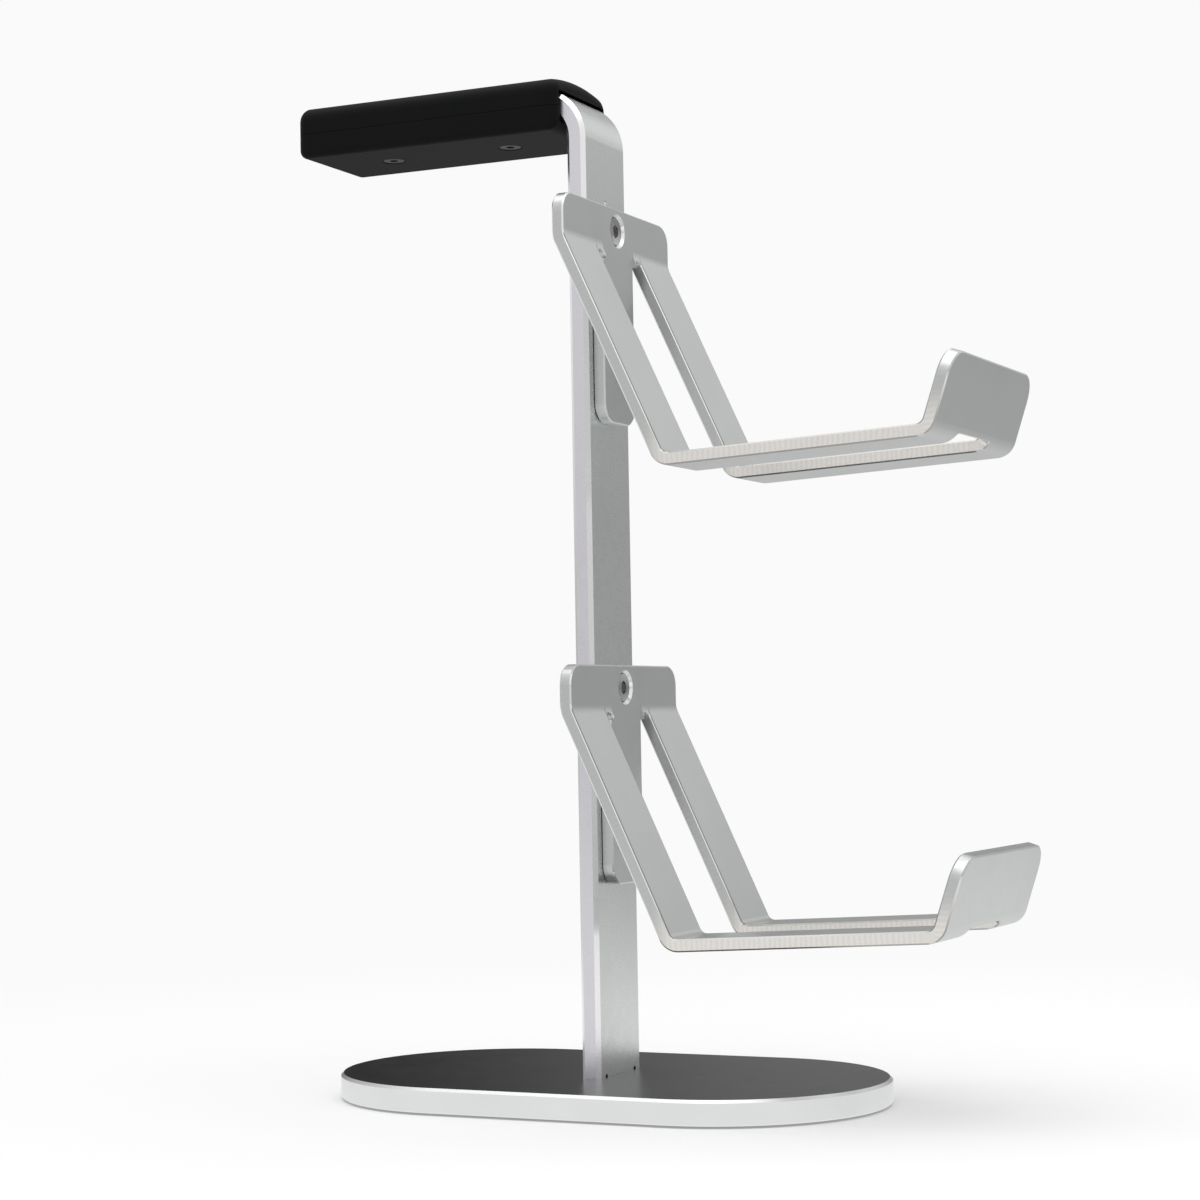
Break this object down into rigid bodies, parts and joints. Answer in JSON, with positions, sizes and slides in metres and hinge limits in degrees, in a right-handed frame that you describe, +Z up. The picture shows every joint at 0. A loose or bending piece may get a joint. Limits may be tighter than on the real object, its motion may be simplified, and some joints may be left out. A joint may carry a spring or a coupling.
{
  "type": "headphone hook",
  "caption": "Free-standing headphone stand: a bent flat-bar post with a padded saddle arm on an oval base, and slotted sheet-metal hooks that hold game controllers.",
  "frame": {"origin": "centre of the underside, where the non-slip pad rests on the desk, on the post's centre line", "axes": "+Z up along the post, +X towards the controller hooks, -X towards the saddle arm, +Y across the flat bar"},
  "size_m": [0.1808, 0.081, 0.2542],
  "materials": {
    "base": "dark satin anodised top with a bright machined rim",
    "bar": "fine blasted satin silver anodising, polished edge chamfers",
    "hook": "fine blasted satin silver anodising, bright edge chamfers, striated cut edges",
    "saddle": "fine-grained matte black",
    "pad": "matte black non-slip sheet",
    "screw": "turned stainless steel",
    "black_screw": "black oxide steel"
  },
  "bodies": {
    "stand": {"base_plate": "base", "base_pad": "pad", "post": "bar", "post_screws": "screw", "height_pin": "screw", "saddle_cradle": "saddle", "saddle_cover": "saddle", "saddle_screws": "black_screw", "lower_hook_screw": "screw", "upper_hook_screw": "screw"},
    "lower_hook": {"lower_hook": "hook"},
    "upper_hook": {"upper_hook": "hook"}
  },
  "joints": [
    {"name": "lower_hook_swivel", "type": "hinge", "parent": "stand", "child": "lower_hook", "pos_m": [0.0041, 0, 0.1017], "axis": [1, 0, 0], "range_deg": [-90, 90]},
    {"name": "upper_hook_swivel", "type": "hinge", "parent": "stand", "child": "upper_hook", "pos_m": [0.0041, 0, 0.2157], "axis": [1, 0, 0], "range_deg": [-90, 90]}
  ]
}
